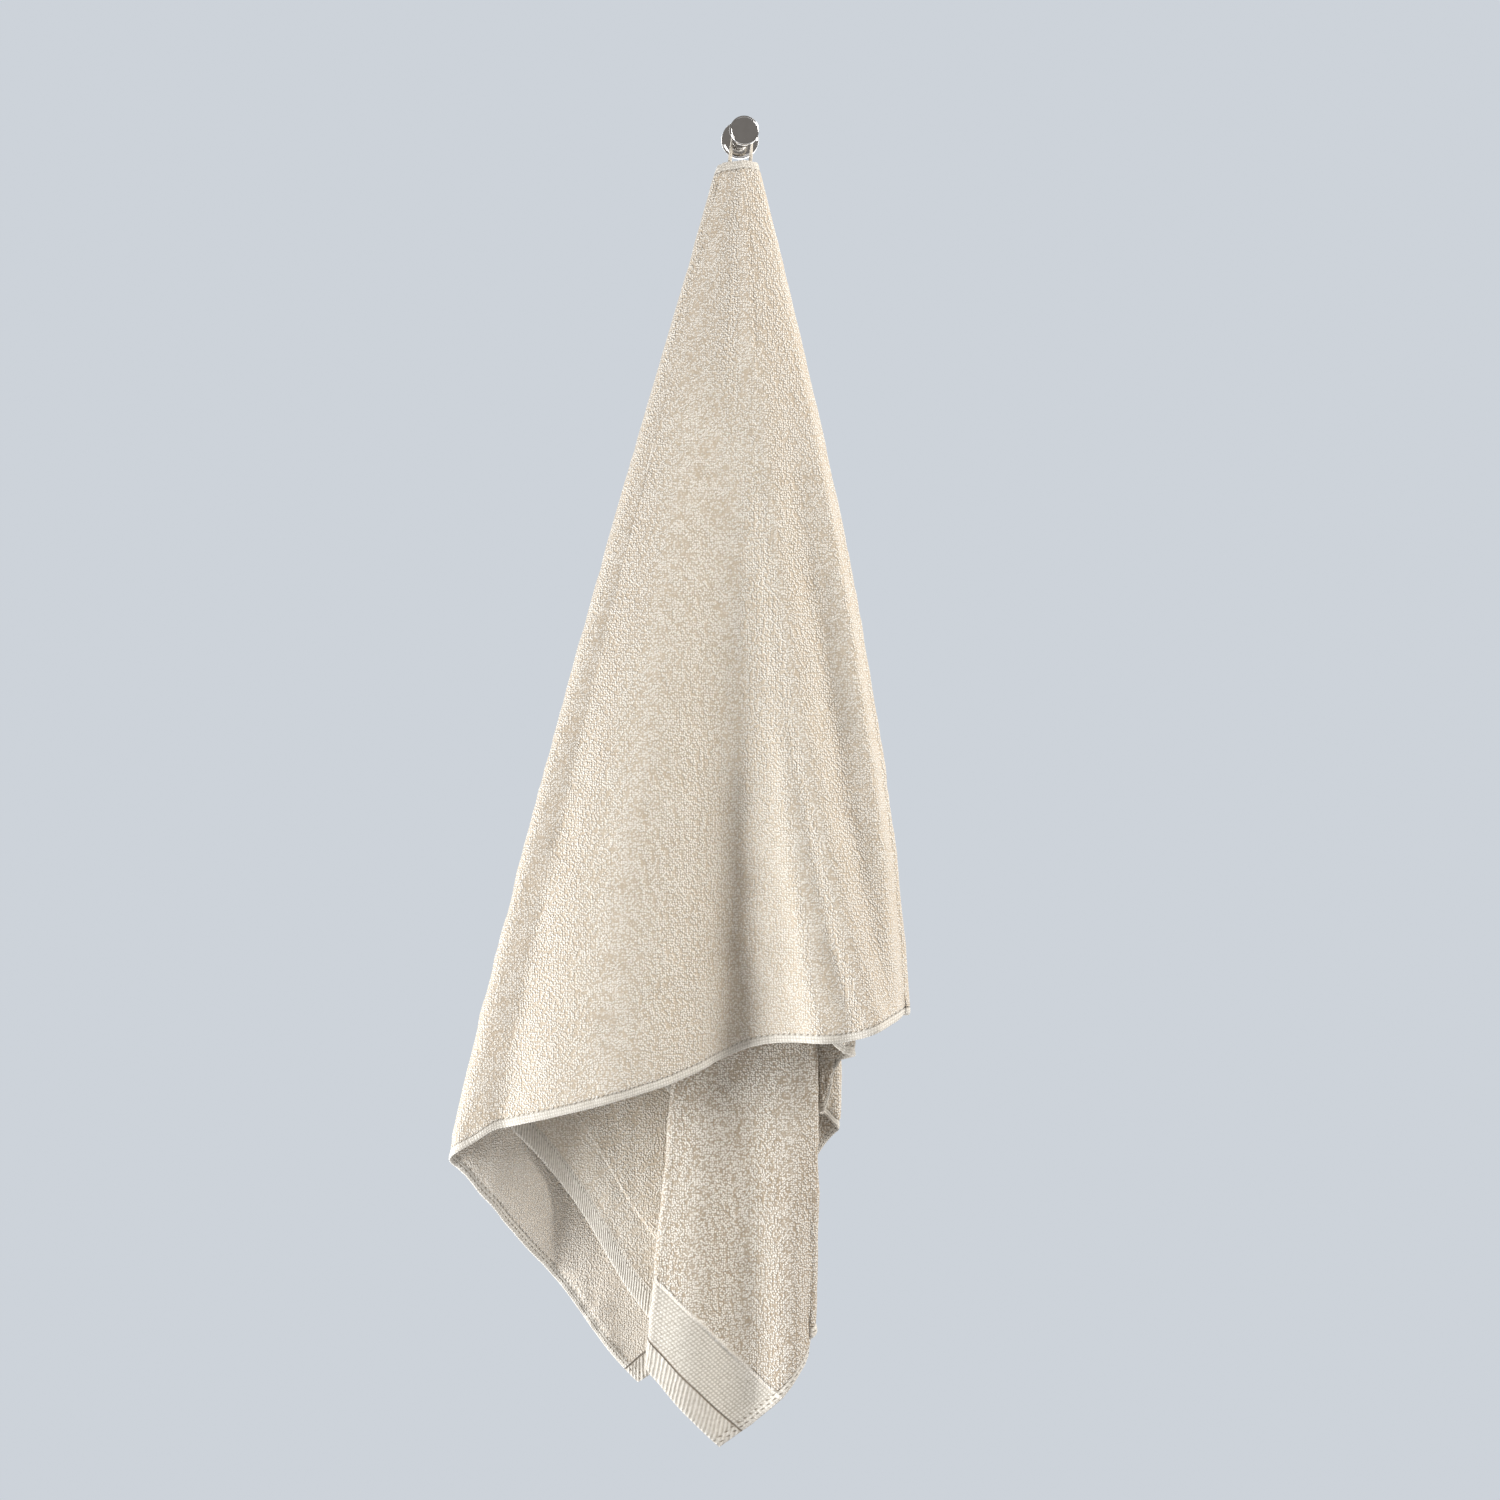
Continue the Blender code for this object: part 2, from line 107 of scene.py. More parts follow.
# Folds: angle on the flat towel; sideways run for each metre of drop at the top and one metre
# down; layer before and after the fold, at the top and one metre down; stretch along the ray
Fold = namedtuple("Fold", "theta slope_top slope_low near_top next_top near_low next_low reach")
FOLDS = [
    Fold(-1.4925, 0.090, 0.090, 9.0, 9.0, 9.0, 9.0, 1.000),
    Fold(-1.1450, -0.150, -0.150, 9.0, 9.0, 8.6, 8.6, 1.000),
    Fold(-1.0300, -0.243, -0.243, 9.0, 10.0, 1.5, 2.6, 1.000),
    Fold(-1.0050, -0.221, -0.221, 10.0, 10.0, 4.3, 4.3, 1.005),
    Fold(-0.9200, -0.152, -0.152, 10.0, 10.0, 9.7, 9.7, 1.002),
    Fold(-0.8160, -0.076, -0.076, 10.0, 10.0, 10.0, 10.0, 1.005),
    Fold(-0.7850, -0.045, -0.045, 10.0, 11.0, 10.0, 11.0, 1.006),
    Fold(-0.7580, -0.079, -0.079, 11.0, 11.0, 11.0, 11.0, 1.005),
    Fold(-0.6650, -0.152, -0.152, 11.0, 11.0, 10.8, 10.8, 1.012),
    Fold(-0.6130, -0.200, -0.200, 11.0, 11.0, 7.0, 7.0, 1.011),
    Fold(-0.5750, -0.238, -0.232, 11.0, 11.0, 4.2, 4.2, 1.010),
    Fold(-0.5300, -0.300, -0.268, 11.0, 0.0, 3.0, 0.0, 1.010),
    Fold(-0.4800, -0.250, -0.231, 0.0, 0.0, 0.0, 0.0, 0.998),
    Fold(-0.3100, -0.082, -0.104, 0.0, 0.0, 0.0, 0.0, 1.008),
    Fold(-0.1700, 0.057, 0.001, 0.0, 0.0, 0.0, 0.0, 0.995),
    Fold(-0.0800, 0.162, 0.068, 0.0, 0.0, 0.0, 0.0, 1.006),
    Fold(0.0000, 0.242, 0.124, 0.0, 1.8, 0.0, 1.8, 0.996),
    Fold(0.1600, 0.030, 0.030, 1.8, 2.8, 1.8, 2.8, 0.985),
    Fold(0.2200, 0.100, 0.075, 2.8, 2.8, 2.8, 2.8, 0.985),
    Fold(0.2550, 0.170, 0.078, 2.8, 5.8, 2.8, 5.8, 1.000),
    Fold(0.4100, 0.075, 0.079, 5.8, 6.8, 5.8, 6.8, 1.000),
    Fold(0.4550, 0.150, 0.072, 6.8, 7.8, 6.8, 7.8, 1.000),
    Fold(0.5650, 0.030, 0.035, 7.8, 4.8, 7.8, 4.8, 1.010),
    Fold(0.6500, 0.106, 0.056, 4.8, 3.8, 4.8, 3.8, 1.052),
    Fold(0.6750, 0.085, 0.051, 3.8, 3.8, 3.8, 3.8, 1.050),
    Fold(0.7200, 0.045, 0.010, 3.8, 3.8, 3.8, 3.8, 1.062),
    Fold(0.7370, 0.030, -0.012, 3.8, 3.8, 3.8, 3.8, 1.062),
    Fold(0.7600, 0.005, -0.042, 3.8, 3.8, 3.8, 3.8, 1.060),
    Fold(0.7900, -0.060, -0.077, 3.8, 4.9, 3.8, 4.9, 1.058),
    Fold(0.9400, -0.012, 0.000, 4.9, 5.9, 4.9, 5.9, 1.030),
    Fold(1.1200, -0.130, -0.130, 5.9, 6.9, 5.9, 6.9, 1.000),
    Fold(1.3400, 0.000, 0.000, 6.9, 7.9, 6.9, 7.9, 1.000),
    Fold(1.4890, -0.110, -0.110, 7.9, 7.9, 7.9, 7.9, 1.000),
]
SHOWN_ANGLES = [(-1.03, 0.0), (0.22, 0.565), (0.65, 0.80)]

# Crests and troughs of a layer, from left to right: their paths as slopes at the top and one
# metre down, and how far they stand out at four drops below the top, where they begin at none
Relief = namedtuple("Relief", "slope_top slope_low upper middle lower lowest")
RELIEF_DROPS = (0.0, 0.20, 0.48, 0.76, 0.95)
FRONT_RELIEF = [
    Relief(-0.260, -0.228, 0.000, 0.000, 0.000, 0.000),
    Relief(-0.210, -0.190, 0.002, 0.010, 0.017, 0.018),
    Relief(-0.160, -0.145, 0.003, 0.015, 0.024, 0.026),
    Relief(-0.110, -0.100, 0.005, 0.012, 0.019, 0.022),
    Relief(-0.065, -0.050, 0.008, 0.007, 0.007, 0.007),
    Relief(-0.012, 0.012, 0.013, 0.004, -0.017, -0.017),
    Relief(0.018, 0.062, 0.013, 0.009, 0.006, 0.006),
    Relief(0.036, 0.115, 0.013, 0.015, 0.029, 0.029),
    Relief(0.038, 0.158, 0.012, 0.017, 0.027, 0.027),
    Relief(0.042, 0.200, 0.012, 0.020, 0.034, 0.034),
    Relief(0.140, 0.160, 0.009, 0.008, 0.023, 0.023),
    Relief(0.210, 0.118, 0.004, 0.012, 0.016, 0.016),
    Relief(0.236, 0.117, 0.000, 0.000, 0.000, 0.000),
]
PANEL_RELIEF = [
    Relief(-0.056, -0.073, 0.000, 0.000, 0.000, 0.000),
    Relief(-0.036, -0.046, 0.000, 0.000, 0.001, 0.008),
    Relief(-0.004, 0.006, 0.000, 0.000, 0.000, -0.003),
    Relief(0.060, 0.034, 0.000, 0.000, 0.001, 0.010),
    Relief(0.102, 0.052, 0.000, 0.000, 0.000, 0.000),
]
LEFT_RELIEF = [
    Relief(-0.243, -0.243, 0.000, 0.000, 0.000, 0.000),
    Relief(-0.190, -0.190, 0.000, 0.000, 0.000, 0.005),
    Relief(-0.105, -0.105, 0.000, 0.000, 0.003, 0.019),
    Relief(-0.060, -0.060, 0.000, 0.000, 0.004, 0.025),
    Relief(-0.041, -0.041, 0.000, 0.000, 0.003, 0.018),
]
Swell = namedtuple("Swell", "start end relief")
SWELLS = [
    Swell(-1.025, -0.789, LEFT_RELIEF),
    Swell(-0.53, 0.0, FRONT_RELIEF),
    Swell(0.65, 0.79, PANEL_RELIEF),
]

# Top hem of the front layer: the rays that it spans, its lift at the left and its arch
TOP_EDGE_FROM = -0.575
TOP_EDGE_TO = 0.0
TOP_EDGE_LIFT = 0.0055
TOP_EDGE_ARCH = 0.0015
TOP_EDGE_FADE = 0.10

# Hanging loop
LOOP_LEAN = -0.09
TAPE_WIDTH = 0.0030
TAPE_THICKNESS = 0.0010
PEG_RADIUS = 0.0075
TAPE_CLEAR = 0.0004
LOOP_DEPTH = 0.0265
WRAP_STEPS = 12
TAPE_OUTLINE = [(-1.0, 0.4), (-0.8, 1.0), (0.8, 1.0), (1.0, 0.4),
                (1.0, -0.4), (0.8, -1.0), (-0.8, -1.0), (-1.0, -0.4)]
# Right strand below the peg: sideways, depth, height and twist in degrees
STRAND = [
    (0.0084, LOOP_DEPTH, -0.005, 12.0),
    (0.0083, LOOP_DEPTH, -0.010, 35.0),
    (0.0083, 0.0266, -0.015, 65.0),
    (0.0083, 0.0268, -0.019, 85.0),
    (0.0083, 0.0270, -0.023, 90.0),
    (0.0083, 0.0274, -0.029, 90.0),
    (0.0083, 0.0279, -0.035, 90.0),
]

# Turned pieces of the hook
ROUND_STEPS = 96
SHARP_ANGLE = math.radians(40.0)
EDGE_BREAK = 0.0002
EDGE_STEPS = 3
LARGEST_SMOOTH_FACE = 1e-5
FLANGE_CHAMFER = 0.0006
DISC_CHAMFER = 0.0014
# Fronts of the flange and of the disc: steps in from the radius, and back from the front
FLANGE_FRONT = [(0.0, 0.0030), (0.0006, 0.0014), (0.0022, 0.0004), (0.0042, 0.0)]
DISC_FRONT = [(0.0, 0.0009), (0.0003, 0.0003), (0.0009, 0.0), (0.0012, 0.0), (0.0015, 0.0005),
              (0.0021, 0.0002)]

# Pitches and widths in the finishes, how the ribs lean and wobble, and the chrome's noise scales
LOOP_PITCH = 0.0018
CLUMP_WIDTH = 0.0070
NAP_WIDTH = 0.030
RIB_PITCH = 0.0033
RIB_LEAN = 0.9
RIB_WOBBLE = 2.2
WOBBLE_WIDTH = 0.009
CANVAS_PITCH = 0.0023
SLUB_WIDTH = 0.0026
SEAM_WIDTH = 0.0010
STITCH_PITCH = 0.0046
STITCH_WIDTH = 0.0011
FINE_STITCH_WIDTH = 0.0008
SECOND_STITCH = 0.0034  # from the side hem's stitches to the row beside them
END_STITCH = 0.0022  # from the end hem's edge to its stitches
WEAVE_EDGE = 0.0006
RIDGE_WIDTH = 0.0020
TWILL_PITCH = 0.0009
SMEAR_SCALE = 160.0
GRAIN_SCALE = 1400.0

# Heights in the finishes
PILE_HEIGHT = 0.0008
NAP_HEIGHT = 0.0010
RIB_HEIGHT = 0.00045
RIB_SLUB_HEIGHT = 0.0001
CANVAS_HEIGHT = 0.00025
SLUB_HEIGHT = 0.00030
RIDGE_HEIGHT = 0.0011
SEAM_DEPTH = 0.0012
STITCH_DEPTH = 0.0007
THREAD_HEIGHT = 0.0008
TWILL_HEIGHT = 0.00015
TAPE_EDGE_HEIGHT = 0.0001

# Colours as a picture shows them, 0 to 255
PILE_TIP = (250, 243, 231)
# Between the loops of the outer face: painted shade, standing in for the loops' shadows on each
# other
OUTER_ROOT_SHADE = (204, 188, 166)
# Painted light: the left end's inner face is painted lighter all over, with little shade between
# its loops
LEFT_INNER_ROOT_LIT = (230, 218, 201)
# Painted shade: the right end's inner face is painted darker all over, and darker between its
# loops
RIGHT_INNER_ROOT_SHADE = (176, 159, 137)
THREAD = (240, 234, 223)
THREAD_GAP = (176, 167, 152)
# Painted shadow in the gap at the end hem's folded edge, along its seam
SEAM_SHADOW_TONE = (112, 92, 70)
# Painted shade in the stitch lines' groove, between the stitches
STITCH_GROOVE_SHADE = (150, 134, 112)
TAPE_DARK = (205, 192, 172)
TAPE_LIGHT = (242, 235, 222)
TAPE_EDGE = (246, 240, 230)
CHROME_DARK = (196, 193, 189)
CHROME_LIGHT = (214, 212, 209)
FLOOR_TONE = (198, 200, 204)

# Light: the surroundings' strength, their tones as linear colours, and the lamps
AMBIENT = 0.42
ROOM_TONE = (0.60, 0.57, 0.55, 1.0)
BACKDROP_TONE = (0.61, 0.65, 0.70, 1.0)
Lamp = namedtuple("Lamp", "name place aim width height power colour")
LAMPS = [
    Lamp("right", (2.4, -0.85, 1.1), (0.0, 0.0, -0.3), 1.2, 1.6, 112.0, (1.0, 0.985, 0.96)),
    Lamp("left", (-2.0, -0.60, -1.05), (0.0, 0.0, -1.0), 1.0, 1.2, 62.0, (0.97, 0.985, 1.0)),
    Lamp("back", (0.6, 2.8, 0.3), (0.0, 0.0, -0.5), 2.0, 2.0, 55.0, (1.0, 1.0, 1.0)),
]
FLOOR_RADIUS = 2.2
FLOOR_AT = (0.0, -0.2, -1.75)
FLOOR_SIDES = 96

# Camera, from the photograph's perspective: metres and pixels
CAMERA_AT = (-0.218, -2.5, -0.497)
PHOTO_SIZE = 1500
PIXELS_PER_METRE = 1225
ORIGIN_PIXEL = (739.6, 141.8)
SENSOR = 36.0

Column = namedtuple("Column", "theta slope_top slope_low layer_top layer_low reach turns angle")
Turn = namedtuple("Turn", "share side half_top half_low")


def mix(a, b, share):
    return a + (b - a) * share


def ease(value):
    value = np.clip(value, 0.0, 1.0)
    return value * value * (3.0 - 2.0 * value)


# Shape of the towel


def turn_span(fold):
    return TURN_WIDTH * abs(fold.next_low - fold.near_low)


def turn_of(fold, before, share):
    side = 1.0 if fold.slope_top > before.slope_top else -1.0
    half_top = (fold.next_top - fold.near_top) / 2.0
    half_low = (fold.next_low - fold.near_low) / 2.0
    return Turn(share, side, half_top, half_low)


def is_turn(fold):
    return fold.next_top != fold.near_top


def smooth_curve(places, values):
    """Monotone cubic through the values, as a function of the place."""
    places, values = np.array(places), np.array(values)
    gaps = np.diff(places)
    rates = np.diff(values) / gaps
    tangents = np.zeros(len(values))
    for k in range(1, len(values) - 1):
        if rates[k - 1] * rates[k] > 0.0:
            weight = (gaps[k - 1] + 2.0 * gaps[k]) / (3.0 * (gaps[k - 1] + gaps[k]))
            tangents[k] = rates[k - 1] * rates[k] / mix(rates[k - 1], rates[k], weight)
    tangents[0], tangents[-1] = rates[0], rates[-1]

    def value_at(place):
        k = int(np.clip(np.searchsorted(places, place) - 1, 0, len(gaps) - 1))
        t = (place - places[k]) / gaps[k]
        start = values[k] * (1 + 2 * t) * (1 - t) ** 2 + tangents[k] * gaps[k] * t * (1 - t) ** 2
        end = values[k + 1] * t * t * (3 - 2 * t) + tangents[k + 1] * gaps[k] * t * t * (t - 1)
        return start + end

    return value_at


def runs_between_turns():
    """The fold table cut into runs, each from one turn to the next."""
    runs, start = [], 0
    for k in range(1, len(FOLDS)):
        if is_turn(FOLDS[k]) or k == len(FOLDS) - 1:
            runs.append(FOLDS[start:k + 1])
            start = k
    return runs


def column_step(theta):
    shown = any(low <= theta <= high for low, high in SHOWN_ANGLES)
    return FINE_STEP if shown else HIDDEN_STEP


def run_columns(run, earlier):
    """Columns of one layer, between two turns, on smooth curves through its rows."""
    first, last = run[0], run[-1]
    places = [fold.theta for fold in run]
    places[0] += turn_span(first) / 2.0
    places[-1] -= turn_span(last) / 2.0
    curves = [
        smooth_curve(places, [fold.slope_top for fold in run]),
        smooth_curve(places, [fold.slope_low for fold in run]),
        smooth_curve(places, [first.next_top] + [fold.near_top for fold in run[1:]]),
        smooth_curve(places, [first.next_low] + [fold.near_low for fold in run[1:]]),
        smooth_curve(places, [fold.reach for fold in run]),
    ]
    columns = []
    for start, end in zip(places, places[1:]):
        steps = max(1, round((end - start) / column_step((start + end) / 2.0)))
        for k in range(steps):
            theta = mix(start, end, k / steps)
            near = ease((places[1] - theta) / (places[1] - places[0]))
            far = ease((theta - places[-2]) / (places[-1] - places[-2]))
            turns = [turn_of(first, earlier, near), turn_of(last, run[-2], far)]
            columns.append(Column(theta, *[curve(theta) for curve in curves], turns, None))
    return columns


def turn_columns(fold, before):
    angles = [math.pi * ((k + 0.5) / TURN_STEPS - 0.5) for k in range(TURN_STEPS)]
    angles = [-math.pi / 2.0] + angles + [math.pi / 2.0]
    return [
        Column(
            fold.theta + turn_span(fold) * angle / math.pi,
            fold.slope_top,
            fold.slope_low,
            (fold.near_top + fold.next_top) / 2.0,
            (fold.near_low + fold.next_low) / 2.0,
            fold.reach,
            [turn_of(fold, before, 1.0)],
            angle,
        )
        for angle in angles
    ]


def section_columns():
    columns = []
    earlier = FOLDS[0]
    for run in runs_between_turns():
        made = run_columns(run, earlier)
        columns += made[1:] if columns else made
        earlier = run[-2]
        if is_turn(run[-1]):
            columns += turn_columns(run[-1], earlier)
    return columns


def ray_ends(theta):
    to_end = TOWEL_LENGTH / 2.0 - math.copysign(GATHER_ALONG_EDGE, theta)
    start = GATHER_ABOVE_EDGE / math.cos(theta)
    to_hem = (TOWEL_WIDTH + GATHER_ABOVE_EDGE) / math.cos(theta)
    across = abs(math.sin(theta))
    by_end = across > 1e-6 and to_end / across < to_hem
    return start, to_end / across if by_end else to_hem, by_end


def ray_rows(theta):
    """Distances from the gathering point of the rows on one ray, closer at hems and bands."""
    start, end, by_end = ray_ends(theta)
    upper = np.array(SIDE_ROWS) / math.cos(theta)
    lower = np.array(END_ROWS if by_end else LOWER_ROWS)
    lower = lower / (abs(math.sin(theta)) if by_end else math.cos(theta))
    room = (end - start) / (upper[-1] + lower[-1])
    squeeze = min(1.0, HEM_ROOM * room)
    upper, lower = start + upper * squeeze, end - lower[::-1] * squeeze
    middle = np.linspace(upper[-1], lower[0], MIDDLE_ROWS + 2)[1:-1]
    return np.concatenate([upper, middle, lower])


def layer_spacing(drop):
    return SPACING_AT_TOP + SPACING_GAIN * drop


def relief_height(relief, slope, drop):
    """Height of the layer between its crests and troughs, smooth through all of them."""
    share = drop * drop
    paths = np.array([mix(row.slope_top, row.slope_low, share) for row in relief])
    levels = [(0.0, row.upper, row.middle, row.lower, row.lowest) for row in relief]
    heights = np.array([np.interp(drop, RELIEF_DROPS, level) for level in levels])
    widths = np.maximum(np.diff(paths, axis=0), 1e-4)
    rates = np.diff(heights, axis=0) / widths
    tangents = np.vstack([rates[:1], rates[:-1] + rates[1:], rates[-1:]])
    both = rates[:-1] * rates[1:]
    level_tangents = np.zeros_like(both)
    tangents[1:-1] = 2.0 * np.divide(both, tangents[1:-1], out=level_tangents, where=both > 0.0)
    total = np.zeros_like(drop)
    for k in range(len(relief) - 1):
        t = (slope - paths[k]) / widths[k]
        inside = (t >= 0.0) & (t < 1.0)
        value = (
            heights[k] * (1.0 + 2.0 * t) * (1.0 - t) ** 2
            + heights[k + 1] * t * t * (3.0 - 2.0 * t)
            + tangents[k] * widths[k] * t * (1.0 - t) ** 2
            + tangents[k + 1] * widths[k] * t * t * (t - 1.0)
        )
        total = np.where(inside, value, total)
    return total


def swell_rise(theta, slope, drop):
    """How far the cloth stands out at its place; slopes are measured beside its folds."""
    for swell in SWELLS:
        if swell.start < theta < swell.end:
            return relief_height(swell.relief, slope, drop)
    return np.zeros_like(drop)


def top_edge_lift(theta, drop):
    """How far the gathers pull up the front layer's top hem, fading out below it."""
    share = (theta - TOP_EDGE_FROM) / (TOP_EDGE_TO - TOP_EDGE_FROM)
    if not 0.0 <= share <= 1.0:
        return 0.0
    lift = mix(TOP_EDGE_LIFT, 0.0, share) + TOP_EDGE_ARCH * 4.0 * share * (1.0 - share)
    return lift * (1.0 - ease((drop - drop[0]) / TOP_EDGE_FADE))


def hang(column, rows):
    """Places in the room of one column's points, and how far each has dropped."""
    mean_slope = (column.slope_top + column.slope_low) / 2.0
    drop = rows * column.reach / math.sqrt(1.0 + mean_slope**2)
    spacing = layer_spacing(drop)
    fan = ease((drop - FAN_FROM) / (FAN_TO - FAN_FROM))
    slope = mix(column.slope_top, column.slope_low, drop * drop)
    x = GATHER_X + slope * drop
    y = BACK_LAYER_Y - (BACK_LAYER - mix(column.layer_top, column.layer_low, fan)) * spacing
    for turn in column.turns:
        half = mix(turn.half_top, turn.half_low, fan) * spacing
        bulge = np.minimum(np.abs(half), TURN_BULGE * drop)
        x = x - turn.share * turn.side * bulge
        if column.angle is not None:
            x = x + turn.side * bulge * math.cos(column.angle)
            y = y + np.sign(half) * (np.abs(half) - bulge) * np.sign(column.angle)
            y = y + np.sign(half) * bulge * math.sin(column.angle)
    y = y - swell_rise(column.theta, (x - GATHER_X) / drop, drop)
    z = GATHER_Z - drop + top_edge_lift(column.theta, drop)
    return np.stack([x, y, z], axis=1), drop


def thickness_share(along, across):
    """Thickness of hems, flat bands and terry, as a share of the terry's."""
    from_side = np.minimum(across, TOWEL_WIDTH - across)
    from_end = TOWEL_LENGTH / 2.0 - np.abs(along)
    share = np.ones_like(along)
    past_hem = ease((from_end - END_HEM) / HEM_STEP)
    band = past_hem * (1.0 - ease((from_end - BAND_END) / BAND_STEP))
    share = mix(share, BAND_SHARE, band)
    end_hem = 1.0 - ease((from_end - END_HEM + HEM_STEP / 2.0) / HEM_STEP)
    share = mix(share, END_HEM_SHARE, end_hem)
    side_hem = 1.0 - ease((from_side - SIDE_HEM + HEM_STEP / 2.0) / HEM_STEP)
    share = mix(share, SIDE_HEM_SHARE, side_hem)
    groove = np.exp(-((from_side - SIDE_HEM) / GROOVE_WIDTH) ** 2)
    share = share - GROOVE_SHARE * groove * (1.0 - end_hem)
    edge = np.clip(np.minimum(from_side, from_end) / EDGE_ROUND, 0.0, 1.0)
    return share * (RIM_SHARE + (1.0 - RIM_SHARE) * np.sqrt(edge))


def grid_normals(points):
    across = np.gradient(points, axis=0)
    down = np.gradient(points, axis=1)
    normals = np.cross(across, down)
    return normals / np.linalg.norm(normals, axis=2, keepdims=True)


def unevenness(along, across):
    """How far the cloth stands out of its smooth shape, in metres."""
    total = np.zeros_like(along)
    for lump in LUMPS:
        places = zip(along / lump.width, across / lump.width)
        total += lump.height * np.array([noise.noise((u, v, lump.width)) for u, v in places])
    from_side = np.minimum(across, TOWEL_WIDTH - across)
    return total * (1.0 + PUCKER_GAIN * np.exp(-((from_side / PUCKER_REACH) ** 2)))


def towel_grid():
    """Middle surface, thickness and flat place of every point of the towel."""
    points, thickness, lift, flat = [], [], [], []
    for column in section_columns():
        rows = ray_rows(column.theta)
        place, drop = hang(column, rows)
        along = GATHER_ALONG_EDGE + rows * math.sin(column.theta)
        across = rows * math.cos(column.theta) - GATHER_ABOVE_EDGE
        spacing = layer_spacing(drop)
        full = np.minimum(CLOTH_THICKNESS, PRESSED_SHARE * spacing)
        room = LUMP_ROOM * (spacing - full)
        points.append(place)
        thickness.append(full * thickness_share(along, across))
        lift.append(np.clip(unevenness(along, across), -room, room))
        flat.append(np.stack([along, across], axis=1))
    points = np.array(points)
    points = points + grid_normals(points) * np.array(lift)[:, :, None]
    return points, np.array(thickness), np.array(flat)


def add_face_sheet(shell, points, flat, inner, layers):
    """One face of the towel: a grid whose points are moved to their places."""
    count, rows = points.shape[:2]
    made = bmesh.ops.create_grid(shell, x_segments=count - 1, y_segments=rows - 1, size=1.0)
    for vert in made["verts"]:
        i = round((vert.co.x + 1.0) / 2.0 * (count - 1))
        j = round((vert.co.y + 1.0) / 2.0 * (rows - 1))
        vert[layers["along"]] = flat[i, j, 0]
        vert[layers["across"]] = flat[i, j, 1]
        vert[layers["inner"]] = inner
        vert.co = points[i, j]
    return made["verts"]


def towel_mesh():
    points, thickness, flat = towel_grid()
    normals = grid_normals(points)
    offset = normals * thickness[:, :, None] / 2.0
    shell = bmesh.new()
    names = ("along", "across", "inner")
    layers = {name: shell.verts.layers.float.new(name) for name in names}
    add_face_sheet(shell, points + offset, flat, 1.0, layers)
    back = add_face_sheet(shell, points - offset, flat, 0.0, layers)
    back_faces = {face for vert in back for face in vert.link_faces}
    bmesh.ops.reverse_faces(shell, faces=list(back_faces))
    rim = [edge for edge in shell.edges if edge.is_boundary]
    bmesh.ops.bridge_loops(shell, edges=rim)
    bmesh.ops.recalc_face_normals(shell, faces=shell.faces)
    cloth = shell.loops.layers.uv.new("cloth")
    for face in shell.faces:
        face.smooth = True
        for corner in face.loops:
            vert = corner.vert
            corner[cloth].uv = (vert[layers["along"]] + TOWEL_LENGTH / 2.0, vert[layers["across"]])
    mesh = bpy.data.meshes.new("towel")
    shell.to_mesh(mesh)
    shell.free()
    return mesh


# Finishes


class Value:
    """A socket of a finish's node tree; Python's operators on it add Math nodes."""

    def __init__(self, tree, socket):
        self.tree = tree
        self.socket = socket

    def maths(self, operation, *others):
        inputs = dict(enumerate((self, *others)))
        return self.tree.node("ShaderNodeMath", {"operation": operation}, inputs)

    def __add__(self, other):
        return self.maths("ADD", other)

    def __sub__(self, other):
        return self.maths("SUBTRACT", other)

    def __rsub__(self, other):
        return (self * -1.0) + other

    def __mul__(self, other):
        return self.maths("MULTIPLY", other)

    def __truediv__(self, other):
        return self.maths("DIVIDE", other)

    def low(self, other):
        return self.maths("MINIMUM", other)

    def high(self, other):
        return self.maths("MAXIMUM", other)

    def size(self):
        return self.maths("ABSOLUTE")

    def wave(self):
        return self.maths("SINE")

    def part(self):
        return self.maths("FRACT")

    def rise(self, start, end):
        """0 before start, 1 after end, smooth between them."""
        settings = {"interpolation_type": "SMOOTHSTEP"}
        inputs = {"Value": self, "From Min": start, "From Max": end}
        return self.tree.node("ShaderNodeMapRange", settings, inputs)

    def line(self, middle, half_width):
        """1 on a line at middle, 0 beyond half_width on either side."""
        return 1.0 - (self - middle).size().rise(0.0, half_width)


class Tree:
    """A node tree being made, with one way to add a node."""

    def __init__(self, tree):
        self.nodes = tree.nodes
        self.links = tree.links

    def node(self, kind, settings=None, inputs=None, output=0):
        made = self.nodes.new(kind)
        for name, value in (settings or {}).items():
            setattr(made, name, value)
        for name, value in (inputs or {}).items():
            self.feed(made.inputs[name], value)
        return Value(self, made.outputs[output])

    def feed(self, socket, value):
        if isinstance(value, Value):
            self.links.new(value.socket, socket)
        else:
            socket.default_value = value

    def split(self, vector):
        """The three parts of a vector."""
        parts = self.node("ShaderNodeSeparateXYZ", None, {0: vector})
        return [Value(self, socket) for socket in parts.socket.node.outputs]

    def colour(self, first, second, share):
        settings = {"data_type": "RGBA"}
        inputs = {0: share, 6: first, 7: second}
        return self.node("ShaderNodeMix", settings, inputs, 2)

    def blend(self, first, second, share):
        inputs = {0: share, 2: first, 3: second}
        return self.node("ShaderNodeMix", {"data_type": "FLOAT"}, inputs)


class Finish(Tree):
    """A material being made: its tree and its shader."""

    def __init__(self, name, **fixed):
        self.material = bpy.data.materials.new(name)
        self.material.use_nodes = True
        super().__init__(self.material.node_tree)
        self.shader = self.nodes["Principled BSDF"]
        for socket, value in fixed.items():
            self.shader.inputs[socket.replace("_", " ")].default_value = value

    def drive(self, name, value):
        self.feed(self.shader.inputs[name], value)

    def bump(self, height):
        inputs = {"Height": height, "Distance": 1.0, "Strength": 1.0}
        self.drive("Normal", self.node("ShaderNodeBump", None, inputs))


def shade(tone):
    """Linear colour from its value in a picture, 0 to 255."""
    return (*[(part / 255.0) ** 2.2 for part in tone], 1.0)


